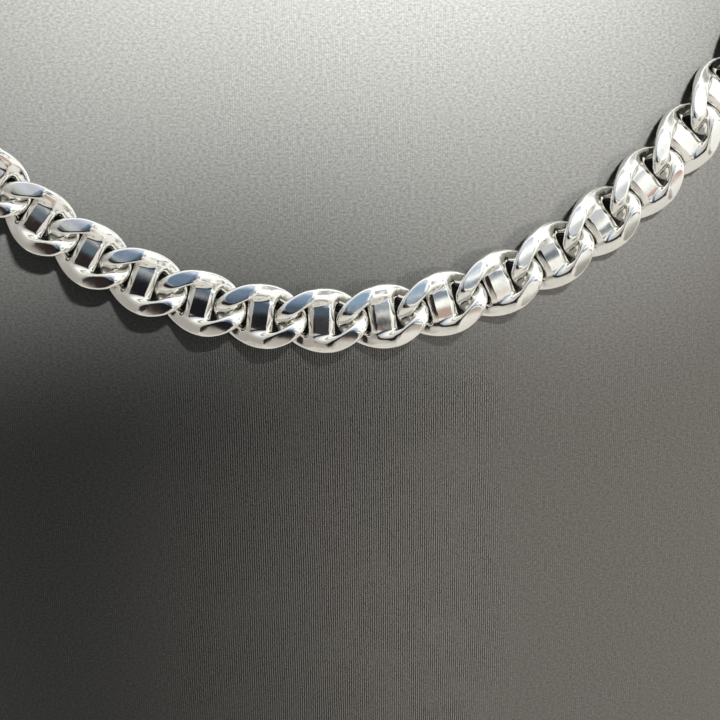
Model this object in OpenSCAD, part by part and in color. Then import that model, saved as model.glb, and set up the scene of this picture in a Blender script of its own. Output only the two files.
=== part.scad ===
// Cuban link chain lying on a plain neck bust, in millimetres.
// Origin at the middle of the bust's flat base, +Z up, the chest faces -Y.

/* [Neck bust] */
// Height from the base to the flat top of the neck
bust_height = 250; // [235:1:300]
// Half width of the chest at the base
base_half_width = 98; // [94:1:100]
// Half width at the shoulders
shoulder_half_width = 108; // [104:1:112]
// Half width of the neck
neck_half_width = 54; // [52:1:57]
// Half depth of the chest at the base
base_half_depth = 58; // [55:1:60]
// Half depth of the chest where it is fullest
chest_half_depth = 57; // [54:1:60]
// Half depth of the neck
neck_half_depth = 45; // [43:1:48]
// How far the neck stands behind the middle of the base
neck_setback = 22; // [16:1:26]
// Roundness of the chest in plan: 2 is an ellipse, less gives a soft ridge
chest_roundness = 1.9; // [1.8:0.05:2.3]
// Roundness of the neck in plan
neck_roundness = 2.1; // [1.9:0.05:2.4]
// Rounding of the edge round the base
base_edge = 4; // [2:0.5:8]
// Rounding of the edge round the top of the neck
top_edge = 9; // [4:0.5:14]

/* [Chain route] */
// Height of the route at the middle of the chest
front_height = 76.7; // [70:0.1:90]
// How much higher the route is at the nape
nape_rise = 116; // [105:0.5:118]
// Extra height of the route at the sides of the neck
side_rise = 13.1; // [8:0.1:16]
// How far the two sides are drawn together below the neck, in degrees
side_draw = 39.8; // [36:0.1:42]
// How wide the curve opens at the front, in degrees
front_open = 11.1; // [9:0.1:13]
// Gap between the chain and the bust
chain_gap = 0.2; // [0.15:0.01:0.4]
// Extra gap where the neck runs into the shoulders
hollow_gap = 0.15; // [0.1:0.01:0.4]

/* [Links] */
// Number of links in the chain, odd
link_count = 63; // [61:2:63]
// Where the middle link sits, in pitches to the right of the centre line
link_shift = -0.24; // [-0.5:0.01:0.5]
// Outer length of a link
link_length = 11.8; // [11.7:0.05:12]
// Outer width of a link
link_width = 8.6; // [8.5:0.02:8.8]
// Width of the wire, measured across the link
wire_width = 2.02; // [1.9:0.01:2.03]
// Height of the wire's flat front above the middle of the wire
wire_front = 0.8; // [0.7:0.01:0.85]
// Depth of the wire's back below the middle of the wire
wire_back = 0.76; // [0.7:0.01:0.8]
// Twist of a link from its middle to its end, in degrees
link_twist = 45.5; // [45:0.5:47]
// Height of the filed front above the middle of the chain
front_level = 1.6; // [1.5:0.01:1.8]
// Depth of the filed back below the middle of the chain
back_level = 1.45; // [1.35:0.01:1.6]
// Radius of the crown filed across the front
front_crown = 14; // [11:1:30]

/* [Crossbar] */
// Width of the crossbar in the middle of a link
bar_width = 3.3; // [2.8:0.05:3.4]
// Width of the flat on the front of the crossbar
bar_flat = 1.6; // [1.3:0.05:1.9]
// Depth of the slope on each side of that flat
bar_slope = 0.45; // [0.3:0.01:0.6]
// Height of the flat above the middle of the link
bar_front = 0.75; // [0.6:0.01:0.9]
// Depth of the crossbar's back below the middle of the link
bar_back = 0.75; // [0.6:0.01:0.9]

/* [Clasp] */
// How much further each end of the clasp reaches than the end of a link
clasp_reach = 2.8; // [2.5:0.1:3]
// Height of the clasp's plain body above its middle
clasp_front = 1.5; // [1.2:0.05:1.6]

/* [Hidden] */

// Heights between which the outline of the bust changes
shoulder_rise_to = 110;
shoulder_fall_from = 108;
shoulder_fall_to = 205;
chest_rise_to = 90;
chest_fall_from = 60;
chest_fall_to = 195;
setback_from = 10;
setback_to = 200;
roundness_from = 110;
roundness_to = 200;

// Steps round the bust, and steps up its wall and round each edge
bust_steps = 44;
wall_step = 9;
edge_steps = 3;

// Where on the route the extra gap is widest, and how far it reaches, in degrees
hollow_middle = 125;
hollow_reach = 50;

// Steps along the route for measuring its length
route_steps = 720;

// Stations round a link, in degrees from its right end. The crossbar joins the wire between
// the two upper stations beside 90 degrees and between the two lower ones beside 270.
stations = [0, 25, 50, 75, 105, 130, 155, 180, 205, 230, 255, 285, 310, 335];
upper_right = 3;
lower_left = 10;
wire_sides = 6;

// Roundness of the oval that the middle of the wire follows
oval_roundness = 2.1;

// Share of the link's twist that the wire's own section turns with
section_turn = 0.35;

// Width and thickness of the wire at the ends of a link, as shares of those at its sides
end_narrowing = 0.92;
end_thinning = 0.95;

// Distance from the middle of the link at which the crossbar starts to flare into the wire
bar_joint = 1.75;

// Half of the distance between the middles of the wire at the ends and at the sides
end_reach = (link_length - wire_width * end_narrowing) / 2;
side_reach = (link_width - wire_width) / 2;

// Section of the wire: distance outward from its middle in wire widths, height above it in mm.
// The flat front and the back are narrower than the wire, and the inner side is drawn in.
wire_section = [
    [0.5, 0.05],
    [0.36, wire_front],
    [-0.3, wire_front],
    [-0.42, 0.05],
    [-0.26, -wire_back],
    [0.26, -wire_back]
];

// Smooth change from 0 at a to 1 at b
function swell(z, a, b) =
    let (t = min(max((z - a) / (b - a), 0), 1))
    t * t * (3 - 2 * t);

function oval_radius(angle, n) =
    pow(pow(abs(cos(angle)), n) + pow(abs(sin(angle)), n), -1 / n);

function unit(v) = v / norm(v);

// Outline of the bust at height z
function half_width(z) =
    base_half_width
    + (shoulder_half_width - base_half_width) * swell(z, 0, shoulder_rise_to)
    + (neck_half_width - shoulder_half_width) * swell(z, shoulder_fall_from, shoulder_fall_to);

function half_depth(z) =
    base_half_depth
    + (chest_half_depth - base_half_depth) * swell(z, 0, chest_rise_to)
    + (neck_half_depth - chest_half_depth) * swell(z, chest_fall_from, chest_fall_to);

function middle_y(z) = neck_setback * swell(z, setback_from, setback_to);

function roundness(z) =
    chest_roundness + (neck_roundness - chest_roundness) * swell(z, roundness_from, roundness_to);

// Point of the bust's skin at an angle from the front and a height, moved inward by inset
function skin(angle, z, inset = 0) =
    let (r = oval_radius(angle, roundness(z)))
    [
        (half_width(z) - inset) * r * sin(angle),
        middle_y(z) - (half_depth(z) - inset) * r * cos(angle),
        z
    ];

// Outward direction of the skin
function skin_normal(angle, z) =
    unit(cross(
        skin(angle + 0.01, z) - skin(angle - 0.01, z),
        skin(angle, z + 0.01) - skin(angle, z - 0.01)
    ));

// Route of the chain: t runs from -180 at the nape through 0 at the front to 180
function route_angle(t) = t - side_draw * sin(t) + front_open * sin(2 * t);

function route_height(t) =
    front_height + nape_rise * (1 - cos(t)) / 2 + side_rise * (1 - cos(2 * t)) / 2;

function route_normal(t) = skin_normal(route_angle(t), route_height(t));

function route_gap(t) =
    let (d = (abs(t) - hollow_middle) / hollow_reach)
    chain_gap + (abs(d) < 1 ? hollow_gap * pow(1 - d * d, 2) : 0);

// Middle of the chain's thickness above the skin
function route_point(t) =
    skin(route_angle(t), route_height(t)) + (back_level + route_gap(t)) * route_normal(t);

// Length of the route up to each step, and the inverse table
route_ts = [for (i = [0 : route_steps]) -180 + 360 * i / route_steps];
route_points = [for (t = route_ts) route_point(t)];
route_lengths = [
    for (i = 0, s = 0; i <= route_steps;
         i = i + 1, s = i > route_steps ? s : s + norm(route_points[i] - route_points[i - 1])) s
];
route_table = [for (i = [0 : route_steps]) [route_lengths[i], route_ts[i]]];
chain_length = route_lengths[route_steps];
link_pitch = (chain_length - 2 * clasp_reach) / (link_count + 1);

// Place of a link on the route: its middle, then its long, wide and thick directions
function place_at(t) =
    let (
        n = route_normal(t),
        along = route_point(t + 0.05) - route_point(t - 0.05),
        x = unit(along - (along * n) * n)
    )
    [route_point(t), x, cross(n, x), n];

function link_t(k) =
    let (s = chain_length / 2 + link_pitch * (k + link_shift))
    lookup(s - chain_length * floor(s / chain_length), route_table);

function to_place(p, f) = f[0] + p[0] * f[1] + p[1] * f[2] + p[2] * f[3];

// Middle of the wire at an angle round the link: the upper side comes forward on the left
// and goes back on the right, the lower side the other way round
function wire_turn(a) = -link_twist * oval_radius(a, oval_roundness) * cos(a);

function wire_middle(a) =
    let (
        r = oval_radius(a, oval_roundness),
        y = side_reach * r * sin(a),
        turn = wire_turn(a)
    )
    [end_reach * r * cos(a), y * cos(turn), y * sin(turn)];

function filed(p) = [
    p[0],
    p[1],
    max(min(p[2], front_level - p[1] * p[1] / (2 * front_crown)), -back_level)
];

// The wire's section at an angle round the link, filed flat front and back
function wire_ring(a) =
    let (
        along = unit(wire_middle(a + 0.01) - wire_middle(a - 0.01)),
        turn = section_turn * wire_turn(a),
        up = [0, -sin(turn), cos(turn)],
        n = unit(up - (up * along) * along),
        out = cross(along, n),
        wide = 1 + (end_narrowing - 1) * cos(a) * cos(a),
        high = 1 + (end_thinning - 1) * cos(a) * cos(a)
    )
    [for (q = wire_section) filed(wire_middle(a) + q[0] * wire_width * wide * out + q[1] * high * n)];

// Section of the crossbar at a distance y across the link
function bar_ring(y, half_flat, half_wide, front) =
    let (top = front - y * y / (2 * front_crown))
    [
        [half_flat, y, top],
        [half_wide, y, top - bar_slope],
        [half_wide, y, -bar_back],
        [-half_wide, y, -bar_back],
        [-half_wide, y, top - bar_slope],
        [-half_flat, y, top]
    ];

// All points of one link whose two ends are moved apart by reach on each side
function link_points(reach, half_flat, half_wide, front) = concat(
    [
        for (i = [0 : len(stations) - 1])
        for (p = wire_ring(stations[i])) p + [sign(cos(stations[i])) * reach, 0, 0]
    ],
    bar_ring(bar_joint, half_flat, half_wide, front),
    bar_ring(-bar_joint, half_flat, half_wide, front)
);

// Band of triangles between two closed loops of points
function band(p, q) = [
    for (j = [0 : len(p) - 1])
    let (k = (j + 1) % len(p))
    for (f = [[p[j], q[k], p[k]], [p[j], q[j], q[k]]]) f
];

function wire_loop(i) = [for (j = [0 : wire_sides - 1]) i * wire_sides + j];

// Edge of the opening that the crossbar fills in the wire's inner side
function bar_mouth(right, left) = [
    right * wire_sides + 2,
    right * wire_sides + 3,
    right * wire_sides + 4,
    left * wire_sides + 4,
    left * wire_sides + 3,
    left * wire_sides + 2
];

bar_start = len(stations) * wire_sides;

function bar_loop(i) = [for (j = [0 : wire_sides - 1]) bar_start + i * wire_sides + j];

points_per_link = bar_start + 2 * wire_sides;
link_faces = concat(
    [
        for (i = [0 : len(stations) - 1])
        let (
            f = band(wire_loop((i + 1) % len(stations)), wire_loop(i)),
            open = i == upper_right || i == lower_left
        )
        for (j = [0 : len(f) - 1])
        if (!(open && (floor(j / 2) == 2 || floor(j / 2) == 3))) f[j]
    ],
    band(bar_loop(0), bar_mouth(upper_right, upper_right + 1)),
    band(bar_loop(1), bar_loop(0)),
    band(bar_mouth(lower_left + 1, lower_left), bar_loop(1))
);

plain_link = link_points(0, bar_flat / 2, bar_width / 2, bar_front);
clasp_link = link_points(
    clasp_reach,
    bar_flat / 2 + clasp_reach,
    bar_width / 2 + clasp_reach,
    clasp_front
);

half_links = (link_count - 1) / 2;

module links(first, last) {
    frames = [for (k = [first : last]) place_at(link_t(k))];
    polyhedron(
        points = [for (f = frames) for (p = plain_link) to_place(p, f)],
        faces = [
            for (i = [0 : len(frames) - 1])
            for (f = link_faces)
            [for (v = f) v + i * points_per_link]
        ]
    );
}

// Half of the chain from the clasp to the middle of the chest, on the wearer's right
module links_left() {
    color("silver") links(-half_links, -1);
}

// The other half, with the link at the middle of the chest
module links_right() {
    color("silver") links(0, half_links);
}

// Plain box clasp at the nape, with the ends of a link on both sides
module box_clasp() {
    frame = place_at(link_t(link_count / 2 + 0.5 + clasp_reach / link_pitch));
    color("silver")
        polyhedron(
            points = [for (p = clasp_link) to_place(p, frame)],
            faces = link_faces
        );
}

// Levels of the bust's skin: height and inset, rounded at the base and at the top
wall_levels = round((bust_height - base_edge - top_edge) / wall_step);
bust_levels = concat(
    [
        for (i = [0 : edge_steps - 1])
        let (a = 90 * i / edge_steps)
        [base_edge * (1 - cos(a)), base_edge * (1 - sin(a))]
    ],
    [
        for (i = [0 : wall_levels])
        [base_edge + (bust_height - base_edge - top_edge) * i / wall_levels, 0]
    ],
    [
        for (i = [1 : edge_steps])
        let (a = 90 * i / edge_steps)
        [bust_height - top_edge * (1 - sin(a)), top_edge * (1 - cos(a))]
    ]
);

// Plain neck bust: chest, sloping shoulders and a short neck with a flat top
module neck_bust() {
    rings = [
        for (level = bust_levels)
        [for (i = [0 : bust_steps - 1]) skin(360 * i / bust_steps, level[0], level[1])]
    ];
    count = len(rings);
    color("dimgray")
        polyhedron(
            points = [for (r = rings) for (p = r) p],
            faces = concat(
                [
                    for (i = [0 : count - 2])
                    for (f = band(
                        [for (j = [0 : bust_steps - 1]) i * bust_steps + j],
                        [for (j = [0 : bust_steps - 1]) (i + 1) * bust_steps + j]
                    )) f
                ],
                [[for (j = [0 : bust_steps - 1]) j]],
                [[for (j = [bust_steps - 1 : -1 : 0]) (count - 1) * bust_steps + j]]
            )
        );
}

neck_bust();
links_left();
links_right();
box_clasp();
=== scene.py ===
"""Cuban link chain lying on a plain neck bust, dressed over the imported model.

Lengths in the geometry code are in millimetres and angles in radians until a mesh is made. Every piece
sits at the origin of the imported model's frame, and its place is in its mesh.
"""

import math

import bpy
import numpy as np
from bpy.props import FloatProperty, FloatVectorProperty, IntProperty, PointerProperty
from mathutils import Matrix, Quaternion, Vector


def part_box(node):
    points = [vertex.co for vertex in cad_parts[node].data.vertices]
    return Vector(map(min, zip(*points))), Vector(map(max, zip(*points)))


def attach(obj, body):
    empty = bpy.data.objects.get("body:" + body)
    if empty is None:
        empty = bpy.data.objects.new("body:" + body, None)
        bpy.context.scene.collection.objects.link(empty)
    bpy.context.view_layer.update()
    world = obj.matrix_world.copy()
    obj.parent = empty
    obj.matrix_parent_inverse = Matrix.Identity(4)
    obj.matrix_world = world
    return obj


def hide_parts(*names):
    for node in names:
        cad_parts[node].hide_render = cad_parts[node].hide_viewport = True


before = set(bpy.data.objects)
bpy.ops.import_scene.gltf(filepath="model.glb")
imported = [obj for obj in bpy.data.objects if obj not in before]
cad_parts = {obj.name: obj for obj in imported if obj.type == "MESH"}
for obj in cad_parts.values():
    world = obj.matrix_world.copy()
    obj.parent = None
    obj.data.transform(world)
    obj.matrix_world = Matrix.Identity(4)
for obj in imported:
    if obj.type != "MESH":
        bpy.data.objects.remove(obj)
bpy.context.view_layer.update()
bust_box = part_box("neck_bust")

bl_info = {
    "name": "Cuban Link Chain on a Neck Bust",
    "version": (1, 0, 0),
    "blender": (4, 5, 0),
    "location": "View3D > Sidebar > Chain",
    "description": "Builds a polished silver cuban link chain that lies on a grey cloth neck bust",
    "category": "Object",
}

MM = 0.001


def mm(metres):
    """A length property's value in millimetres, without the noise of its single precision."""
    return round(metres / MM, 4)


def linear(code):
    """An sRGB hex colour as linear red, green, blue and alpha."""
    parts = [int(code[i : i + 2], 16) / 255 for i in (1, 3, 5)]
    return tuple(c / 12.92 if c <= 0.04045 else ((c + 0.055) / 1.055) ** 2.4 for c in parts) + (1.0,)


def shade(colour):
    """A colour property as a shader's colour."""
    return (*colour, 1.0)


class BustSizes(bpy.types.PropertyGroup):
    """Sizes and colours of the neck bust"""

    height: FloatProperty(
        name="Height",
        description="Height from the base to the flat top of the neck",
        default=bust_box[1].z,
        min=0.2,
        max=0.35,
        precision=4,
        unit="LENGTH",
    )
    base_half_width: FloatProperty(
        name="Base Half Width",
        description="Half width of the chest at the base",
        default=0.098,
        precision=4,
        unit="LENGTH",
    )
    shoulder_half_width: FloatProperty(
        name="Shoulder Half Width",
        description="Half width at the shoulders",
        default=0.108,
        precision=4,
        unit="LENGTH",
    )
    neck_half_width: FloatProperty(
        name="Neck Half Width",
        description="Half width of the neck",
        default=0.054,
        precision=4,
        unit="LENGTH",
    )
    base_half_depth: FloatProperty(
        name="Base Half Depth",
        description="Half depth of the chest at the base",
        default=0.058,
        precision=4,
        unit="LENGTH",
    )
    chest_half_depth: FloatProperty(
        name="Chest Half Depth",
        description="Half depth of the chest where it is fullest",
        default=0.057,
        precision=4,
        unit="LENGTH",
    )
    neck_half_depth: FloatProperty(
        name="Neck Half Depth",
        description="Half depth of the neck",
        default=0.045,
        precision=4,
        unit="LENGTH",
    )
    neck_setback: FloatProperty(
        name="Neck Setback",
        description="How far the neck stands behind the middle of the base",
        default=0.022,
        precision=4,
        unit="LENGTH",
    )
    thread_spacing: FloatProperty(
        name="Thread Spacing",
        description="Distance between the cloth's upright threads as drawn",
        default=0.0003,
        min=0.0001,
        max=0.002,
        precision=5,
        unit="LENGTH",
    )
    thread_colour: FloatVectorProperty(
        name="Thread Colour",
        description="Colour of the raised threads",
        default=linear("#3e3e3c")[:3],
        min=0.0,
        max=1.0,
        subtype="COLOR",
    )
    # Dark end of the cloth's colour: the nap's darker grain, and painted shade in the furrows between the
    # ribs.
    nap_and_furrow_shade_colour: FloatVectorProperty(
        name="Furrow Colour",
        description="Colour of the furrows between the threads",
        default=linear("#0b0b0a")[:3],
        min=0.0,
        max=1.0,
        subtype="COLOR",
    )


class ChainSizes(bpy.types.PropertyGroup):
    """Sizes and finish of the chain"""

    link_count: IntProperty(
        name="Links",
        description="Number of links in the chain without the clasp, odd",
        default=63,
        min=61,
        max=63,
    )
    link_length: FloatProperty(
        name="Link Length",
        description="Outer length of a link",
        default=0.0118,
        precision=5,
        unit="LENGTH",
    )
    link_width: FloatProperty(
        name="Link Width",
        description="Outer width of a link",
        default=0.0086,
        precision=5,
        unit="LENGTH",
    )
    wire_width: FloatProperty(
        name="Wire Width",
        description="Width of the wire, measured across the link",
        default=0.00202,
        precision=5,
        unit="LENGTH",
    )
    link_twist: FloatProperty(
        name="Link Twist",
        description="Twist of a link from its middle to its end",
        default=math.radians(45.5),
        subtype="ANGLE",
    )
    bar_flat: FloatProperty(
        name="Crossbar Flat",
        description="Width of the flat on the front of the crossbar",
        default=0.0019,
        precision=5,
        unit="LENGTH",
    )
    bar_width: FloatProperty(
        name="Crossbar Width",
        description="Width of the crossbar in the middle of a link",
        default=0.0035,
        precision=5,
        unit="LENGTH",
    )
    silver_colour: FloatVectorProperty(
        name="Silver Colour",
        description="Colour of the polished silver",
        default=linear("#fafaf6")[:3],
        min=0.0,
        max=1.0,
        subtype="COLOR",
    )
    polish: FloatProperty(
        name="Polish",
        description="Roughness that is left on the best polished places",
        default=0.06,
        min=0.0,
        max=0.5,
        subtype="FACTOR",
    )


class StudioSettings(bpy.types.PropertyGroup):
    """Floor, light and camera"""

    camera_distance: FloatProperty(
        name="Camera Distance",
        description="Distance from the camera to the front of the chain",
        default=0.2,
        precision=3,
        unit="LENGTH",
    )
    camera_elevation: FloatProperty(
        name="Camera Elevation",
        description="Angle at which the camera looks down",
        default=math.radians(24.17),
        subtype="ANGLE",
    )
    key_power: FloatProperty(
        name="Key Light",
        description="Power of the softbox above, which lights the upper chest",
        default=0.81,
        min=0.0,
        unit="POWER",
    )
    fill_power: FloatProperty(
        name="Fill Light",
        description="Power of the snooted lamp on the right, which lights the lower chest",
        default=20.8,
        min=0.0,
        unit="POWER",
    )
    floor_colour: FloatVectorProperty(
        name="Floor Colour",
        description="Colour of the plain floor",
        default=linear("#d9d8d5")[:3],
        min=0.0,
        max=1.0,
        subtype="COLOR",
    )


def add_node(tree, kind, settings=None, links=None):
    """Adds a node.

    A setting is the value of an input or of the node itself, or the stops of a colour ramp. A link is an
    input with the node and output that feed it.
    """
    node = tree.nodes.new(kind)
    for key, value in (settings or {}).items():
        if key == "stops":
            ramp = node.color_ramp
            while len(ramp.elements) < len(value):
                ramp.elements.new(1.0)
            for element, (position, colour) in zip(ramp.elements, value):
                element.position = position
                element.color = colour
        elif isinstance(key, int) or key in node.inputs:
            node.inputs[key].default_value = value
        else:
            setattr(node, key, value)
    for key, (source, output) in (links or {}).items():
        tree.links.new(source.outputs[output], node.inputs[key])
    return node


def new_material(name):
    """An empty node material and its output node."""
    material = bpy.data.materials.new(name)
    material.use_nodes = True
    material.node_tree.nodes.clear()
    return material, add_node(material.node_tree, "ShaderNodeOutputMaterial")


def polished_silver(chain):
    """Sterling silver, cast and drawn, filed flat, then buffed.

    Buffing leaves a mirror that is not quite even: it waves a little over each flat, and fine hairlines and
    slightly duller patches break the reflections up.
    """
    material, output = new_material("buffed_sterling_silver")
    tree = material.node_tree
    place = add_node(tree, "ShaderNodeTexCoord")
    # The buffing wheel leaves duller and greyer patches about 2 mm across.
    patches = add_node(
        tree,
        "ShaderNodeTexNoise",
        {"Scale": 1 / (2.0 * MM), "Detail": 3.0, "Roughness": 0.6},
        {"Vector": (place, "Object")},
    )
    dullness = add_node(
        tree,
        "ShaderNodeMapRange",
        {"From Min": 0.35, "From Max": 0.75, "To Min": chain.polish, "To Max": chain.polish + 0.12},
        {"Value": (patches, "Fac")},
    )
    tint = add_node(
        tree,
        "ShaderNodeMix",
        {"data_type": "RGBA", 6: shade(chain.silver_colour), 7: linear("#eeebe4")},
        {0: (patches, "Fac")},
    )
    # Filing leaves waves about 1.1 mm long.
    waves = add_node(
        tree,
        "ShaderNodeTexNoise",
        {"Scale": 1 / (1.1 * MM), "Detail": 1.0},
        {"Vector": (place, "Object")},
    )
    wavy = add_node(
        tree,
        "ShaderNodeBump",
        {"Strength": 0.22, "Distance": 0.03 * MM},
        {"Height": (waves, "Fac")},
    )
    # Real hairlines are about 0.02 mm wide. They are drawn 0.12 mm wide, which a render can show.
    hairlines = add_node(
        tree,
        "ShaderNodeTexNoise",
        {"Scale": 1 / (0.12 * MM), "Detail": 2.0},
        {"Vector": (place, "Object")},
    )
    hairy = add_node(
        tree,
        "ShaderNodeBump",
        {"Strength": 0.12, "Distance": 0.01 * MM},
        {"Height": (hairlines, "Fac"), "Normal": (wavy, "Normal")},
    )
    silver = add_node(
        tree,
        "ShaderNodeBsdfPrincipled",
        {"Metallic": 1.0},
        {"Base Color": (tint, 2), "Roughness": (dullness, "Result"), "Normal": (hairy, "Normal")},
    )
    tree.links.new(silver.outputs["BSDF"], output.inputs["Surface"])
    return material


def ribbed_cloth(sizes):
    """Polyester cloth, woven with fine upright ribs and pressed onto the form.

    The ribs show as upright rows of stitches where they stand free of the nap, with painted shade
    darkening the furrows between them, and the nap as an even grain. The map that it uses is in millimetres
    of cloth.
    """
    material, output = new_material("woven_grey_ribbed_cloth")
    tree = material.node_tree
    cloth = add_node(tree, "ShaderNodeUVMap", {"uv_map": "cloth_mm"})
    across = add_node(tree, "ShaderNodeSeparateXYZ", None, {"Vector": (cloth, "UV")})
    # The ribs wander by up to half their spacing over some 6 mm of cloth.
    wander = add_node(
        tree,
        "ShaderNodeTexNoise",
        {"noise_dimensions": "2D", "Scale": 1 / 6.0, "Detail": 2.0},
        {"Vector": (cloth, "UV")},
    )
    # The real ribs can hardly be told apart. They are drawn 0.3 mm apart, about two pixels of the picture.
    turns = add_node(
        tree,
        "ShaderNodeMath",
        {"operation": "MULTIPLY", 1: 2 * math.pi / mm(sizes.thread_spacing)},
        {0: (across, "X")},
    )
    phase = add_node(
        tree,
        "ShaderNodeMath",
        {"operation": "MULTIPLY_ADD", 1: 4.0},
        {0: (wander, "Fac"), 2: (turns, "Value")},
    )
    wave = add_node(tree, "ShaderNodeMath", {"operation": "SINE"}, {0: (phase, "Value")})
    # The ribs stand free of the nap in patches about 9 mm across.
    free = add_node(
        tree,
        "ShaderNodeTexNoise",
        {"noise_dimensions": "2D", "Scale": 1 / 9.0, "Detail": 2.0, "Roughness": 0.6},
        {"Vector": (cloth, "UV")},
    )
    patchy = add_node(
        tree,
        "ShaderNodeMapRange",
        {"From Min": 0.35, "From Max": 0.60, "To Min": 0.2, "To Max": 1.0},
        {"Value": (free, "Fac")},
    )
    # Their painted furrow shade and their relief are full within 9 mm of the middle and below 60 mm, faint
    # past
    # 26 mm and hardly there above 86 mm.
    aside = add_node(tree, "ShaderNodeMath", {"operation": "ABSOLUTE"}, {0: (across, "X")})
    eased = {"interpolation_type": "SMOOTHSTEP"}
    central = add_node(
        tree,
        "ShaderNodeMapRange",
        {**eased, "From Min": 9.0, "From Max": 26.0, "To Min": 2.4, "To Max": 0.15},
        {"Value": (aside, "Value")},
    )
    lower_cloth = add_node(
        tree,
        "ShaderNodeMapRange",
        {**eased, "From Min": 60.0, "From Max": 86.0, "To Min": 1.0, "To Max": 0.025},
        {"Value": (across, "Y")},
    )
    depth = add_node(
        tree, "ShaderNodeMath", {"operation": "MULTIPLY"}, {0: (central, "Result"), 1: (lower_cloth, "Result")}
    )
    amount = add_node(
        tree, "ShaderNodeMath", {"operation": "MULTIPLY"}, {0: (depth, "Value"), 1: (patchy, "Result")}
    )
    # The nap's real fibres are 0.02 mm thick. They are drawn as tufts 0.3 mm high, along the cross threads.
    lying = add_node(
        tree, "ShaderNodeVectorMath", {"operation": "MULTIPLY", 1: (0.7, 1.25, 1.0)}, {0: (cloth, "UV")}
    )
    grain = add_node(
        tree,
        "ShaderNodeTexNoise",
        {"noise_dimensions": "2D", "Scale": 1 / 0.35, "Detail": 3.0, "Roughness": 0.9},
        {"Vector": (lying, "Vector")},
    )
    speckle = add_node(
        tree, "ShaderNodeMapRange", {"From Min": 0.2, "From Max": 0.8}, {"Value": (grain, "Fac")}
    )
    # The cross threads break each rib up into short stitches.
    stitched = add_node(
        tree,
        "ShaderNodeMapRange",
        {"From Min": 0.42, "From Max": 0.58, "To Min": 0.0, "To Max": 2.8},
        {"Value": (grain, "Fac")},
    )
    broken = add_node(
        tree, "ShaderNodeMath", {"operation": "MULTIPLY"}, {0: (amount, "Value"), 1: (stitched, "Result")}
    )
    ribs = add_node(
        tree,
        "ShaderNodeMath",
        {"operation": "MULTIPLY_ADD", 2: 0.5},
        {0: (wave, "Value"), 1: (broken, "Value")},
    )
    both = add_node(
        tree,
        "ShaderNodeMix",
        {"data_type": "FLOAT", 0: 0.5},
        {2: (ribs, "Value"), 3: (speckle, "Result")},
    )
    # The ribs' dark stripes are painted shade in their furrows. The grain's lighter and darker tones are
    # the nap's own.
    colour = add_node(
        tree,
        "ShaderNodeMix",
        {"data_type": "RGBA", 6: shade(sizes.nap_and_furrow_shade_colour), 7: shade(sizes.thread_colour)},
        {0: (both, 0)},
    )
    # Furrows and the ends of the nap's fibres throw back less of the light than the filaments' flanks.
    shine = add_node(
        tree,
        "ShaderNodeMapRange",
        {"From Min": 0.2, "From Max": 0.8, "To Min": 0.1, "To Max": 0.5},
        {"Value": (both, 0)},
    )
    relief = add_node(
        tree,
        "ShaderNodeBump",
        {"Strength": 0.3, "Distance": 0.04 * MM},
        {"Height": (both, 0)},
    )
    surface = add_node(
        tree,
        "ShaderNodeBsdfPrincipled",
        {"IOR": 1.5, "Roughness": 0.45},
        {"Base Color": (colour, 2), "Specular IOR Level": (shine, "Result"), "Normal": (relief, "Normal")},
    )
    tree.links.new(surface.outputs["BSDF"], output.inputs["Surface"])
    return material


def painted_board(studio):
    """Fibreboard with matt emulsion, rolled, so that it has the faint texture of a roller."""
    material, output = new_material("rolled_matt_floor_paint")
    tree = material.node_tree
    place = add_node(tree, "ShaderNodeTexCoord")
    # A short-pile roller leaves dimples about 1.5 mm across.
    dimples = add_node(
        tree, "ShaderNodeTexNoise", {"Scale": 1 / (1.5 * MM), "Detail": 2.0}, {"Vector": (place, "Object")}
    )
    relief = add_node(
        tree, "ShaderNodeBump", {"Strength": 0.1, "Distance": 0.05 * MM}, {"Height": (dimples, "Fac")}
    )
    paint = add_node(
        tree,
        "ShaderNodeBsdfPrincipled",
        {"Base Color": shade(studio.floor_colour), "Roughness": 0.8},
        {"Normal": (relief, "Normal")},
    )
    tree.links.new(paint.outputs["BSDF"], output.inputs["Surface"])
    return material


def swell(z, a, b):
    """Smooth growth from 0 at a to 1 at b."""
    t = np.clip((z - a) / (b - a), 0.0, 1.0)
    return t * t * (3 - 2 * t)


def oval_radius(angle, n):
    """Radius of an oval of reach 1, which is a circle where n is 2 and squarer where n is larger."""
    return (abs(np.cos(angle)) ** n + abs(np.sin(angle)) ** n) ** (-1 / n)


def unit(v):
    return v / np.linalg.norm(v, axis=-1, keepdims=True)


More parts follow.
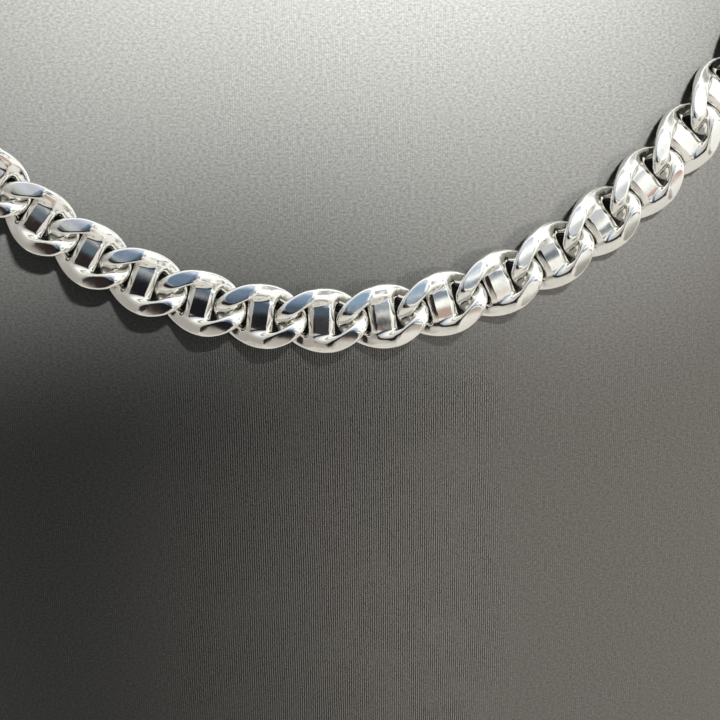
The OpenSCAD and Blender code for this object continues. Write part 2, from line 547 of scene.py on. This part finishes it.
class BustForm:
    """Skin of the bust. Angle 0 is the middle of the chest, and it grows towards +X."""

    # Heights between which each size of the bust changes to the next.
    shoulder_rise, neck_narrowing = (0, 110), (108, 205)
    chest_rise, throat_rise = (0, 90), (60, 195)
    setback_rise, rounding_rise = (10, 200), (110, 200)

    def __init__(self, sizes):
        self.height = mm(sizes.height)
        widths = sizes.base_half_width, sizes.shoulder_half_width, sizes.neck_half_width
        depths = sizes.base_half_depth, sizes.chest_half_depth, sizes.neck_half_depth
        self.widths, self.depths = [mm(v) for v in widths], [mm(v) for v in depths]
        self.setback = mm(sizes.neck_setback)

    def half_width(self, z):
        base, shoulder, neck = self.widths
        widened = base + (shoulder - base) * swell(z, *self.shoulder_rise)
        return widened + (neck - shoulder) * swell(z, *self.neck_narrowing)

    def half_depth(self, z):
        base, chest, neck = self.depths
        filled = base + (chest - base) * swell(z, *self.chest_rise)
        return filled + (neck - chest) * swell(z, *self.throat_rise)

    def middle_y(self, z):
        return self.setback * swell(z, *self.setback_rise)

    def skin(self, angle, z, inset=0.0):
        """Points of the skin, moved inward by inset. The neck is a little squarer than the chest."""
        r = oval_radius(angle, 1.9 + 0.2 * swell(z, *self.rounding_rise))
        x = (self.half_width(z) - inset) * r * np.sin(angle)
        y = self.middle_y(z) - (self.half_depth(z) - inset) * r * np.cos(angle)
        return np.stack([x, y, z + 0 * x], -1)

    def normal(self, angle, z, turn=2e-4, climb=0.01):
        """The skin's outward normal, from points a small turn and climb apart."""
        along = self.skin(angle + turn, z) - self.skin(angle - turn, z)
        up = self.skin(angle, z + climb) - self.skin(angle, z - climb)
        return unit(np.cross(along, up))


# Height of the chain's middle at the front of the chest.
FRONT_HEIGHT = 76.7
# How far the filed front and back of a link lie from its middle, and the radius across its filed flats.
FRONT_LEVEL, BACK_LEVEL = 1.85, 1.45
CROWN = 14.0
# How far each end of the clasp's link form is moved out to make its box.
CLASP_REACH = 2.8
# Half the room that a link takes up, with some to spare, and how finely its mesh is kept.
LINK_ROOM = (6.3, 4.7, 2.2)
LINK_TRIANGLES, CLASP_TRIANGLES = 6000, 9000


class ChainRoute:
    """Route of the chain over the bust: t runs from -pi at the nape through 0 at the front to pi."""

    # The front of the route follows the photograph's curve. The rest carries it smoothly round the neck.
    swing, second_swing = math.radians(39.8), math.radians(11.1)
    rise, second_rise = 116, 13.1
    # The chain lies this far off the cloth, and a little further round the hollows at the bust's sides.
    gap, hollow_gap = 0.2, 0.15
    hollow_middle, hollow_reach = 125, 50
    # Share of the pitch by which the front link lies left of the middle of the chest.
    front_shift = 0.24

    def __init__(self, form, link_count):
        self.form = form
        # The route is measured at every eighth of a degree.
        steps = np.linspace(-math.pi, math.pi, 8 * 360 + 1)
        points = self.point(steps)
        lengths = np.concatenate([[0.0], np.cumsum(np.linalg.norm(np.diff(points, axis=0), axis=1))])
        self.steps, self.lengths, self.total = steps, lengths, lengths[-1]
        self.pitch = (self.total - 2 * CLASP_REACH) / (link_count + 1)

    def on_skin(self, t):
        """Angle round the bust and height of the route."""
        angle = t - self.swing * np.sin(t) + self.second_swing * np.sin(2 * t)
        height = FRONT_HEIGHT + self.rise * (1 - np.cos(t)) / 2 + self.second_rise * (1 - np.cos(2 * t)) / 2
        return angle, height

    def point(self, t):
        """Middle of the chain, half a link's thickness and a small gap off the skin."""
        angle, height = self.on_skin(t)
        d = (abs(np.degrees(t)) - self.hollow_middle) / self.hollow_reach
        gap = self.gap + self.hollow_gap * np.where(abs(d) < 1, (1 - d * d) ** 2, 0.0)
        off = (BACK_LEVEL + gap)[..., None]
        return self.form.skin(angle, height) + off * self.form.normal(angle, height)

    def places(self, numbers):
        """Places along the chain, counted in links from the front.

        Each is the middle of the chain there and its long, wide and thick directions.
        """
        s = self.total / 2 + self.pitch * (np.asarray(numbers, float) - self.front_shift)
        t = np.interp(s % self.total, self.lengths, self.steps)
        thick = self.form.normal(*self.on_skin(t))
        along = self.point(t + 0.001) - self.point(t - 0.001)
        along = unit(along - (along * thick).sum(-1, keepdims=True) * thick)
        return np.stack([self.point(t), along, np.cross(thick, along), thick], 1)


def mesh_object(name, points, faces, uvs=None):
    """A smooth mesh object from points in millimetres, with an optional map in millimetres of cloth."""
    mesh = bpy.data.meshes.new(name)
    mesh.from_pydata((np.asarray(points) * MM).tolist(), [], [tuple(f) for f in faces])
    if uvs is not None:
        mesh.uv_layers.new(name="cloth_mm").uv.foreach_set("vector", np.asarray(uvs, np.float32).ravel())
    mesh.validate()
    mesh.shade_smooth()
    piece = bpy.data.objects.new(name, mesh)
    bpy.context.scene.collection.objects.link(piece)
    return piece


def apply_modifiers(piece):
    """Replaces the piece's mesh by what its modifiers make of it."""
    graph = bpy.context.evaluated_depsgraph_get()
    mesh = bpy.data.meshes.new_from_object(piece.evaluated_get(graph))
    piece.modifiers.clear()
    old, piece.data = piece.data, mesh
    bpy.data.meshes.remove(old)


def smooth_max(a, b, r):
    """The larger of two distances, with the edge where they meet rounded over about r."""
    near = np.clip(r - abs(a - b), 0.0, None)
    return np.maximum(a, b) + near * near / (4 * r)


def smooth_min(a, b, r):
    """The smaller of two distances, with a fillet of about r where they meet."""
    return -smooth_max(-a, -b, r)


class LinkForm:
    """A finished link as the distance of a point from its skin, less than zero inside.

    It is a twisted wire, filed in front and behind, with its crossbar. A clasp is a link whose ends are
    moved apart by reach and whose crossbar is a box.
    """

    # How square a link's outline and its wire's section are, where 2 is an ellipse.
    outline, section = 2.1, 2.3
    # Share of the wire's width that it takes up along the link at its ends.
    end_wire = 0.92
    # Rounding of the filed edges, and the fillet where the crossbar meets the wire.
    edge, fillet = 0.22, 0.55
    # Front of the crossbar and of the box before the middle, and the back of both behind it.
    bar_front, box_front, bar_back = 0.75, 1.45, 0.75
    # The groove at which the tongue goes into the box: its place, half width and depth.
    groove_place, groove_width, groove_depth = 2.2, 0.2, 0.35

    def __init__(self, chain, reach=0.0):
        self.reach = reach
        self.half_wire = mm(chain.wire_width) / 2
        self.end_reach = (mm(chain.link_length) - mm(chain.wire_width) * self.end_wire) / 2
        self.side_reach = (mm(chain.link_width) - mm(chain.wire_width)) / 2
        self.twist = chain.link_twist
        self.bar_top = self.box_front if reach else self.bar_front
        self.bar_flat = mm(chain.bar_flat) / 2 + reach
        self.bar_wide = mm(chain.bar_width) / 2 + reach

    def middle(self, a):
        """Middle of the wire at angle a round the link, and how far the link has turned there."""
        r = oval_radius(a, self.outline)
        turn = -self.twist * r * np.cos(a)
        y = self.side_reach * r * np.sin(a)
        return np.stack([self.end_reach * r * np.cos(a), y * np.cos(turn), y * np.sin(turn)], -1), turn

    def nearest(self, p, small=0.01):
        """Angle round the link at which the wire's middle is nearest to each point."""
        coarse = (np.arange(64) + 0.5) * math.pi / 32
        line = self.middle(coarse)[0]
        a = coarse[((line * line).sum(-1) - 2 * p @ line.T).argmin(-1)]
        # Newton's steps from there, held short so that none jumps to the far side.
        for _ in range(4):
            before, here, after = (self.middle(a + h)[0] for h in (-small, 0.0, small))
            first, second = (after - before) / (2 * small), (after - 2 * here + before) / small**2
            square = (first * first).sum(-1)
            bend = np.maximum(square + ((here - p) * second).sum(-1), 0.3 * square)
            a = a - np.clip(((here - p) * first).sum(-1) / bend, -0.08, 0.08)
        return a

    def wire(self, p):
        """Distance from the wire: oval with a flat front, and fully oval where it passes the next link."""
        a = self.nearest(p)
        centre, turn = self.middle(a)
        along = unit(self.middle(a + 1e-3)[0] - self.middle(a - 1e-3)[0])
        # The section turns by about a third of the twist, and its front leans with the crowned flats.
        lean = 0.35 * turn - 0.5 * centre[:, 1] / CROWN
        up = np.stack([0 * lean, -np.sin(lean), np.cos(lean)], -1)
        up = unit(up - (up * along).sum(-1, keepdims=True) * along)
        # Bending leaves the wire a little wider in the ends of the link.
        end = np.cos(a) ** 2
        u = abs(((p - centre) * np.cross(along, up)).sum(-1)) / (1 + 0.06 * end)
        v = ((p - centre) * up).sum(-1)
        # Its front is less tall and has no flat where it passes the next link.
        soft = swell(abs(np.cos(a)), 0.5, 0.9)
        tall = np.where(v > 0, 0.98 - 0.18 * soft, 0.8)
        n = self.section
        k = np.maximum(((u / self.half_wire) ** n + (abs(v) / tall) ** n) ** (1 / n), 0.1)
        slope = k ** (1 - n) * np.hypot(u ** (n - 1) / self.half_wire**n, abs(v) ** (n - 1) / tall**n)
        flat = v - 0.8 - 0.2 * soft
        return smooth_max((k - 1) / np.maximum(slope, 0.05), flat, 0.2)

    def bar(self, p):
        """Distance from the crossbar: a crowned flat with a rounded slope on each side."""
        x, y, z = abs(p[:, 0]), p[:, 1], p[:, 2]
        end = swell(abs(y), 1.0, 3.2)
        # Close to its ends the bar turns with the wire that it joins, and rises to its front.
        dive = np.tanh(p[:, 0] * np.sign(y) / 1.6) * 1.6 * swell(abs(y), 1.6, 3.3)
        top = self.bar_top - y * y / (2 * CROWN) - 0.5 * dive + 0.3 * swell(abs(y), 1.8, 3.0)
        if self.reach:
            groove = np.exp(-(((p[:, 0] - self.groove_place) / self.groove_width) ** 2))
            top = top - self.groove_depth * groove
        # Each side falls away from the flat, by 0.42 in 1 at first and then more steeply. All edges are
        # rounded over by 0.2 to 0.3 mm.
        aside = np.sqrt(np.clip(x - self.bar_flat, 0, None) ** 2 + 0.03**2) - 0.03
        front = (z - top + 0.42 * aside + 0.2 * aside * aside) / np.hypot(1, 0.42 + 0.4 * aside)
        bar = smooth_max(front, x - self.bar_wide - 0.15 * end, 0.25)
        back = -self.bar_back - 0.4 * np.clip(dive, 0, None) - z
        return smooth_max(smooth_max(bar, back, 0.3), abs(y) - self.side_reach, 0.2)

    def distance(self, p):
        """Distance from the whole link: the wire, filed in front and behind, joined to the crossbar."""
        inner = p - np.clip(p[:, :1], -self.reach, self.reach) * np.array([1.0, 0.0, 0.0])
        x, y, z = inner[:, 0], inner[:, 1], inner[:, 2]
        wire = smooth_max(self.wire(inner), z - FRONT_LEVEL + y * y / (2 * CROWN), self.edge)
        wire = smooth_max(wire, -BACK_LEVEL - z, self.edge)
        return smooth_min(wire, self.bar(p), self.fillet)

    def settle(self, p, small=0.01):
        """Points moved onto the skin, and the skin's normals there, from distances a small step apart."""
        for _ in range(3):
            d = self.distance(p)
            rises = [self.distance(p + h) - self.distance(p - h) for h in np.eye(3) * small]
            slope = np.stack(rises, -1) / (2 * small)
            p = p - np.clip(d / (slope * slope).sum(-1), -0.1, 0.1)[:, None] * slope
        return p, unit(slope)


def skin_cells(form, low, high, step):
    """Points and quads of a form's skin.

    There is a point in each grid cell that the skin passes through, and a quad across each grid line.
    """
    axes = [np.arange(a, b, step) for a, b in zip(low, high)]
    grid = np.stack(np.meshgrid(*axes, indexing="ij"), -1)
    field = form.distance(grid.reshape(-1, 3)).reshape(grid.shape[:3])
    total, count = np.zeros((*field.shape, 3)), np.zeros(field.shape)
    lines = []
    for axis in range(3):
        a, b = (np.moveaxis(field, axis, 0)[s] for s in (slice(None, -1), slice(1, None)))
        i = np.argwhere((a < 0) != (b < 0))
        start, end = a[tuple(i.T)], b[tuple(i.T)]
        cell = np.insert(i[:, 1:], axis, i[:, 0], 1)
        place = cell.astype(float)
        place[:, axis] += start / (start - end)
        one, two = np.eye(3, dtype=int)[(axis + 1) % 3], np.eye(3, dtype=int)[(axis + 2) % 3]
        corners = np.stack([cell, cell - one, cell - one - two, cell - two], 1)
        corners[start > 0] = corners[start > 0, ::-1]
        for k in range(4):
            np.add.at(total, tuple(corners[:, k].T), place)
            np.add.at(count, tuple(corners[:, k].T), 1)
        lines.append(corners.reshape(-1, 3))
    number = np.full(field.shape, -1)
    number[count > 0] = np.arange((count > 0).sum())
    points = total[count > 0] / count[count > 0][:, None] * step + np.array(low)
    return points, number[tuple(np.concatenate(lines).T)].reshape(-1, 4)


def make_link(name, form, high, triangles, cell=0.12):
    """A mesh of a link's form with about so many triangles, and the normals of its corners.

    The form lies within high of its middle, and is read in cells of the given size.
    """
    link = mesh_object(name, *skin_cells(form, [-v for v in high], high, cell))
    thin = link.modifiers.new("thin", "DECIMATE")
    thin.ratio = triangles / (2 * len(link.data.polygons))
    thin.use_collapse_triangulate = True
    apply_modifiers(link)
    mesh = link.data
    points = np.empty(len(mesh.vertices) * 3, np.float32)
    mesh.vertices.foreach_get("co", points)
    points = form.settle(points.reshape(-1, 3) / MM)[0]
    faces = np.array([p.vertices for p in mesh.polygons])
    # A normal is read a little inside its triangle, which keeps flats flat up to their edges.
    corners = points[faces]
    normals = form.settle((0.75 * corners + 0.25 * corners.mean(1, keepdims=True)).reshape(-1, 3))[1]
    bpy.data.objects.remove(link)
    return points, faces, normals


def lay_links(name, link, places):
    """One piece with a copy of the link at each place."""
    points, faces, normals = link
    laid = np.concatenate([p[0] + points @ p[1:] for p in places])
    rows = np.concatenate([faces + i * len(points) for i in range(len(places))])
    piece = mesh_object(name, laid, rows)
    piece.data.normals_split_custom_set(np.concatenate([normals @ p[1:] for p in places]).tolist())
    return piece


def take_up(piece, node, material):
    """Gives the piece its material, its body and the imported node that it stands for."""
    piece.data.materials.clear()
    piece.data.materials.append(material)
    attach(piece, "root")
    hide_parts(node)


def silver_material(chain):
    """The silver that all pieces of the chain share."""
    return bpy.data.materials.get("buffed_sterling_silver") or polished_silver(chain)


def cloth_rings(form):
    """Rings of the cloth from the base up, and each point's millimetres of cloth across and up."""
    base_round, top_round = 4, 9
    furrow_depth, furrow_width = 0.5, 0.7
    # Columns are closer together beside the seam at the back.
    seam = np.array([0.0, 0.006, 0.012, 0.02, 0.03, 0.045])
    side = np.concatenate([np.linspace(0, math.pi - 0.07, 112), math.pi - seam[::-1]])
    angles, front = np.concatenate([-side[:0:-1], side]), len(side) - 1
    rounding = np.linspace(0, math.pi / 2, 9)[:-1]
    levels = [(base_round * (1 - math.cos(a)), base_round * (1 - math.sin(a))) for a in rounding]
    levels += [(z, 0.0) for z in np.linspace(base_round, form.height - top_round, 96)]
    for a in np.linspace(0, math.pi / 2, 13)[1:]:
        levels.append((form.height - top_round * (1 - math.sin(a)), top_round * (1 - math.cos(a))))
    rings, maps, run = [], [], 0.0
    for z, inset in levels:
        heights = np.full(len(angles), z)
        ring = form.skin(angles, heights, inset)
        arc = np.concatenate([[0.0], np.cumsum(np.linalg.norm(np.diff(ring, axis=0), axis=1))])
        arc -= arc[front]
        # The two edges of the cloth are sewn together in a shallow furrow.
        behind = np.minimum(arc - arc[0], arc[-1] - arc)
        furrow = furrow_depth * np.exp(-((behind / furrow_width) ** 2))
        ring = form.skin(angles, heights, inset + furrow)
        if rings:
            run += float(np.linalg.norm(ring[front] - rings[-1][front]))
        rings.append(ring)
        maps.append(np.stack([arc, np.full(len(arc), run)], -1))
    return rings, maps


class CHAIN_OT_cloth_bust(bpy.types.Operator):
    """Build the cloth-covered neck bust"""

    bl_idname = "chain.cloth_bust"
    bl_label = "Neck Bust"

    def execute(self, context):
        sizes = context.scene.bust_sizes
        rings, maps = cloth_rings(BustForm(sizes))
        columns = len(rings[0]) - 1
        points = [p for ring in rings for p in ring[:-1]]
        faces, uvs = [], []
        for i in range(len(rings) - 1):
            low, high = i * columns, (i + 1) * columns
            for j in range(columns):
                k = (j + 1) % columns
                faces.append((low + j, low + k, high + k, high + j))
                uvs += [maps[i][j], maps[i][j + 1], maps[i + 1][j + 1], maps[i + 1][j]]
        # The flat top and the base, each as rings that close on their middle.
        for ring, start, turned in ((rings[-1], (len(rings) - 1) * columns, False), (rings[0], 0, True)):
            middle = (ring.max(0) + ring.min(0)) / 2
            last = list(range(start, start + columns))
            for share in (0.75, 0.5, 0.25):
                first = len(points)
                points += [middle + (p - middle) * share for p in ring[:-1]]
                inner = list(range(first, first + columns))
                for j in range(columns):
                    k = (j + 1) % columns
                    faces.append((last[j], last[k], inner[k], inner[j])[:: -1 if turned else 1])
                last = inner
            points.append(middle)
            for j in range(columns):
                faces.append((last[j], last[(j + 1) % columns], len(points) - 1)[:: -1 if turned else 1])
        flat = [points[v] for f in faces[len(uvs) // 4 :] for v in f]
        uvs += [(p[0], p[1]) for p in flat]
        bust = mesh_object("cloth_bust", points, faces, uvs)
        take_up(bust, "neck_bust", ribbed_cloth(sizes))
        return {"FINISHED"}


class CHAIN_OT_silver_links(bpy.types.Operator):
    """Build both halves of the chain from one finished link"""

    bl_idname = "chain.silver_links"
    bl_label = "Chain Links"

    def execute(self, context):
        chain = context.scene.chain_sizes
        route = ChainRoute(BustForm(context.scene.bust_sizes), chain.link_count)
        link = make_link("link", LinkForm(chain), LINK_ROOM, LINK_TRIANGLES)
        half = (chain.link_count - 1) // 2
        for name, node, numbers in (
            ("silver_links_left", "links_left", range(-half, 0)),
            ("silver_links_right", "links_right", range(0, half + 1)),
        ):
            piece = lay_links(name, link, route.places(list(numbers)))
            take_up(piece, node, silver_material(chain))
        return {"FINISHED"}


class CHAIN_OT_box_clasp(bpy.types.Operator):
    """Build the plain box clasp at the nape"""

    bl_idname = "chain.box_clasp"
    bl_label = "Box Clasp"

    def execute(self, context):
        chain = context.scene.chain_sizes
        route = ChainRoute(BustForm(context.scene.bust_sizes), chain.link_count)
        room = (LINK_ROOM[0] + CLASP_REACH, *LINK_ROOM[1:])
        clasp = make_link("clasp", LinkForm(chain, CLASP_REACH), room, CLASP_TRIANGLES)
        place = route.places([chain.link_count / 2 + 0.5 + CLASP_REACH / route.pitch])
        piece = lay_links("silver_box_clasp", clasp, place)
        take_up(piece, "box_clasp", silver_material(chain))
        return {"FINISHED"}


# Light of the tent's two sides, which the silver mirrors. Each is a ramp from straight down at 0, past the
# horizon at 0.5, to straight up at 1. The colours are linear, and may be brighter than 1.
LEFT_SIDE = (
    (0.0, (0.78, 0.76, 0.71, 1)),
    (0.22, (0.70, 0.67, 0.62, 1)),
    (0.35, (0.40, 0.37, 0.34, 1)),
    (0.50, (0.40, 0.39, 0.37, 1)),
    (0.62, (0.50, 0.50, 0.48, 1)),
    (0.80, (0.62, 0.62, 0.60, 1)),
    (1.0, (1.2, 1.2, 1.18, 1)),
)
RIGHT_SIDE = (
    (0.0, (0.62, 0.60, 0.56, 1)),
    (0.15, (0.75, 0.74, 0.70, 1)),
    (0.30, (0.78, 0.74, 0.69, 1)),
    (0.45, (1.0, 1.0, 0.96, 1)),
    (0.60, (1.2, 1.24, 1.2, 1)),
    (0.80, (1.35, 1.38, 1.36, 1)),
    (1.0, (1.2, 1.2, 1.18, 1)),
)
# Round zones of the tent, each laid over those before it. A row gives the degrees from the front towards +X
# and above the horizon, the radius in degrees up to which the zone is full and at which it ends, and its
# light.
TENT_ZONES = (
    # Grey folds on the right.
    (112, 40, 12, 22, (0.30, 0.30, 0.29, 1)),
    (60, 22, 3, 9, (0.42, 0.44, 0.48, 1)),
    (45, -22, 8, 16, (0.34, 0.33, 0.30, 1)),
    # A pale edge with dark slits and a warm board beside it.
    (27, 16, 4, 10, (0.60, 0.62, 0.65, 1)),
    (28, 7, 2, 6, (0.13, 0.16, 0.18, 1)),
    (39, -1, 2, 5, (0.13, 0.16, 0.20, 1)),
    (48, -3, 2, 5, (0.54, 0.33, 0.25, 1)),
    (18, -6, 4, 9, (0.47, 0.36, 0.30, 1)),
    # Pale blue panels above the camera.
    (-22, 32, 7, 13, (0.62, 0.64, 0.73, 1)),
    (3, 42, 14, 22, (0.66, 0.72, 0.86, 1)),
    # The blue-grey window under them, which darkens downward and to the left.
    (15, 15, 3, 8, (0.22, 0.26, 0.32, 1)),
    (4, 25, 4, 12, (0.27, 0.39, 0.53, 1)),
    (-8, 22, 6, 12, (0.15, 0.22, 0.33, 1)),
    (-2, 11, 6, 14, (0.07, 0.10, 0.14, 1)),
    (5, -12, 3, 8, (0.14, 0.06, 0.06, 1)),
    (-25, 9, 5, 11, (0.11, 0.15, 0.19, 1)),
    # The dark gap that the camera looks through.
    (-34, -6, 11, 16, (0.028, 0.020, 0.020, 1)),
    (0, -3, 9, 13, (0.045, 0.045, 0.05, 1)),
    (-15, -4, 11, 15, (0.012, 0.012, 0.015, 1)),
)


def tent_zone(tree, place, around, rise, inner, outer):
    """How much of a direction lies in a round zone of the tent."""
    a, e = math.radians(around), math.radians(rise)
    axis = (math.sin(a) * math.cos(e), -math.cos(a) * math.cos(e), math.sin(e))
    facing = add_node(
        tree, "ShaderNodeVectorMath", {"operation": "DOT_PRODUCT", 1: axis}, {0: (place, "Generated")}
    )
    return add_node(
        tree,
        "ShaderNodeMapRange",
        {
            "interpolation_type": "SMOOTHSTEP",
            "From Min": math.cos(math.radians(outer)),
            "From Max": math.cos(math.radians(inner)),
        },
        {"Value": (facing, "Value")},
    )


def studio_world():
    """A soft light tent, white above and on the right, greyer on the left, with a dark gap in front."""
    world = bpy.data.worlds.new("light_tent")
    bpy.context.scene.world = world
    world.use_nodes = True
    tree = world.node_tree
    tree.nodes.clear()
    place = add_node(tree, "ShaderNodeTexCoord")
    height = add_node(tree, "ShaderNodeSeparateXYZ", None, {"Vector": (place, "Generated")})
    rise = add_node(
        tree, "ShaderNodeMapRange", {"From Min": -1.0, "From Max": 1.0}, {"Value": (height, "Z")}
    )
    left, right = (
        add_node(tree, "ShaderNodeValToRGB", {"stops": side}, {"Fac": (rise, "Result")})
        for side in (LEFT_SIDE, RIGHT_SIDE)
    )
    across = add_node(
        tree,
        "ShaderNodeMapRange",
        {"interpolation_type": "SMOOTHSTEP", "From Min": -0.12, "From Max": 0.12},
        {"Value": (height, "X")},
    )
    light = add_node(
        tree,
        "ShaderNodeMix",
        {"data_type": "RGBA"},
        {0: (across, "Result"), 6: (left, "Color"), 7: (right, "Color")},
    )
    for around, up, inner, outer, colour in TENT_ZONES:
        zone = tent_zone(tree, place, around, up, inner, outer)
        light = add_node(
            tree, "ShaderNodeMix", {"data_type": "RGBA", 7: colour}, {0: (zone, "Result"), 6: (light, 2)}
        )
    sky = add_node(tree, "ShaderNodeBackground", {"Strength": 1.0}, {"Color": (light, 2)})
    output = add_node(tree, "ShaderNodeOutputWorld")
    tree.links.new(sky.outputs["Background"], output.inputs["Surface"])


def lamp(name, kind, place, aim, roll, lit, settings):
    """A lamp at a place in millimetres that points at another and lights one piece alone.

    It is flagged off from the camera and from reflections, which show the tent.
    """
    light = bpy.data.objects.new(name, bpy.data.lights.new(name, kind))
    for key, value in settings.items():
        setattr(light.data, key, value)
    light.location = Vector(place) * MM
    light.rotation_mode = "QUATERNION"
    level = (Vector(place) - Vector(aim)).to_track_quat("Z", "Y")
    light.rotation_quaternion = level @ Quaternion((0, 0, 1), math.radians(roll))
    light.visible_camera = light.visible_glossy = False
    light.light_linking.receiver_collection = bpy.data.collections.new(name + "_lit")
    light.light_linking.receiver_collection.objects.link(lit)
    bpy.context.scene.collection.objects.link(light)


# Half the length of the floor, and the height of the backdrop round it, which has this many sides.
FLOOR_REACH = 12000.0
BACKDROP_SIDES = 96

# The photograph's view, taken from the places of fourteen links in it: the point in its middle, the turn of
# the camera, and how many of the picture's pixels a millimetre at the chain takes up.
VIEW_X, VIEW_Z = 3.13, 70.6
VIEW_YAW, VIEW_ROLL = math.radians(3.34), math.radians(-0.25)
PHOTO_PIXELS, PIXELS_PER_MM = 720, 7.614


def photo_camera(studio, form):
    """The camera at the photograph's viewing angle."""
    front = form.skin(np.array(0.0), np.array(FRONT_HEIGHT))
    target = Vector((VIEW_X, float(front[1]), VIEW_Z)) * MM
    rise, yaw, roll = studio.camera_elevation, VIEW_YAW, VIEW_ROLL
    ahead = Vector((math.sin(yaw) * math.cos(rise), math.cos(yaw) * math.cos(rise), -math.sin(rise)))
    right = ahead.cross(Vector((0, 0, 1))).normalized()
    up = right.cross(ahead)
    right, up = (
        right * math.cos(roll) + up * math.sin(roll),
        up * math.cos(roll) - right * math.sin(roll),
    )
    camera = bpy.data.objects.new("camera", bpy.data.cameras.new("camera"))
    turned = Matrix((right, up, -ahead)).transposed().to_4x4()
    camera.matrix_world = Matrix.Translation(target - ahead * studio.camera_distance) @ turned
    sensor, photo_width = 36.0, PHOTO_PIXELS / PIXELS_PER_MM * MM
    camera.data.sensor_width = sensor
    camera.data.lens = sensor * studio.camera_distance / photo_width
    camera.data.clip_start = 0.005
    bpy.context.scene.collection.objects.link(camera)
    bpy.context.scene.camera = camera


class CHAIN_OT_studio(bpy.types.Operator):
    """Set up the pale floor, the soft light and the camera"""

    bl_idname = "chain.studio"
    bl_label = "Studio"

    def execute(self, context):
        studio = context.scene.studio_settings
        floor = mesh_object(
            "studio_floor",
            [(x * FLOOR_REACH, y * FLOOR_REACH, 0) for x, y in ((-1, -1), (1, -1), (1, 1), (-1, 1))],
            [(0, 1, 2, 3)],
        )
        floor.data.materials.append(painted_board(studio))
        floor.visible_glossy = False
        sides, radius = BACKDROP_SIDES, 0.95 * FLOOR_REACH
        turn = np.linspace(0, 2 * math.pi, sides, endpoint=False)
        rim = np.stack([radius * np.cos(turn), radius * np.sin(turn), 0 * turn], -1)
        backdrop = mesh_object(
            "studio_backdrop",
            np.concatenate([rim, rim + (0, 0, FLOOR_REACH)]),
            [(i, i + sides, (i + 1) % sides + sides, (i + 1) % sides) for i in range(sides)],
        )
        backdrop.data.materials.append(floor.data.materials[0])
        # The camera sees the backdrop in other views, and the light of the tent passes it.
        backdrop.visible_diffuse = backdrop.visible_glossy = backdrop.visible_shadow = False
        studio_world()
        # A narrow softbox high on the right lights the upper chest, and a snooted lamp lower on the right
        # fills in the lower chest.
        bust = bpy.data.objects["cloth_bust"]
        lamp(
            "key_softbox",
            "AREA",
            (121, -257, 345),
            (7, -57, 150),
            -25,
            bust,
            {
                "shape": "RECTANGLE",
                "size": 0.111,
                "size_y": 0.013,
                "spread": math.radians(17.2),
                "energy": studio.key_power,
                "color": linear("#fcfdfd")[:3],
            },
        )
        lamp(
            "fill_lamp",
            "SPOT",
            (200, -327, 95),
            (68, -57, 38),
            0,
            bust,
            {
                "spot_size": math.radians(26),
                "spot_blend": 0.35,
                "shadow_soft_size": 0.02,
                "energy": studio.fill_power,
                "color": linear("#fff5ee")[:3],
            },
        )
        photo_camera(studio, BustForm(context.scene.bust_sizes))
        context.scene.view_settings.view_transform = "Standard"
        return {"FINISHED"}


class CHAIN_PT_sidebar(bpy.types.Panel):
    """Sizes, colours and the buttons that build each piece"""

    bl_label = "Cuban Link Chain"
    bl_space_type = "VIEW_3D"
    bl_region_type = "UI"
    bl_category = "Chain"

    def draw(self, context):
        for group, operators in (
            ("bust_sizes", (CHAIN_OT_cloth_bust,)),
            ("chain_sizes", (CHAIN_OT_silver_links, CHAIN_OT_box_clasp)),
            ("studio_settings", (CHAIN_OT_studio,)),
        ):
            box = self.layout.box()
            settings = getattr(context.scene, group)
            for name in type(settings).__annotations__:
                box.prop(settings, name)
            for operator in operators:
                box.operator(operator.bl_idname)


CLASSES = (
    BustSizes,
    ChainSizes,
    StudioSettings,
    CHAIN_OT_cloth_bust,
    CHAIN_OT_silver_links,
    CHAIN_OT_box_clasp,
    CHAIN_OT_studio,
    CHAIN_PT_sidebar,
)


def register():
    for cls in CLASSES:
        bpy.utils.register_class(cls)
    bpy.types.Scene.bust_sizes = PointerProperty(type=BustSizes)
    bpy.types.Scene.chain_sizes = PointerProperty(type=ChainSizes)
    bpy.types.Scene.studio_settings = PointerProperty(type=StudioSettings)


def unregister():
    del bpy.types.Scene.studio_settings
    del bpy.types.Scene.chain_sizes
    del bpy.types.Scene.bust_sizes
    for cls in reversed(CLASSES):
        bpy.utils.unregister_class(cls)


def main():
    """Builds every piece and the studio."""
    register()
    bpy.ops.chain.cloth_bust()
    bpy.ops.chain.silver_links()
    bpy.ops.chain.box_clasp()
    bpy.ops.chain.studio()


if __name__ == "__main__":
    main()
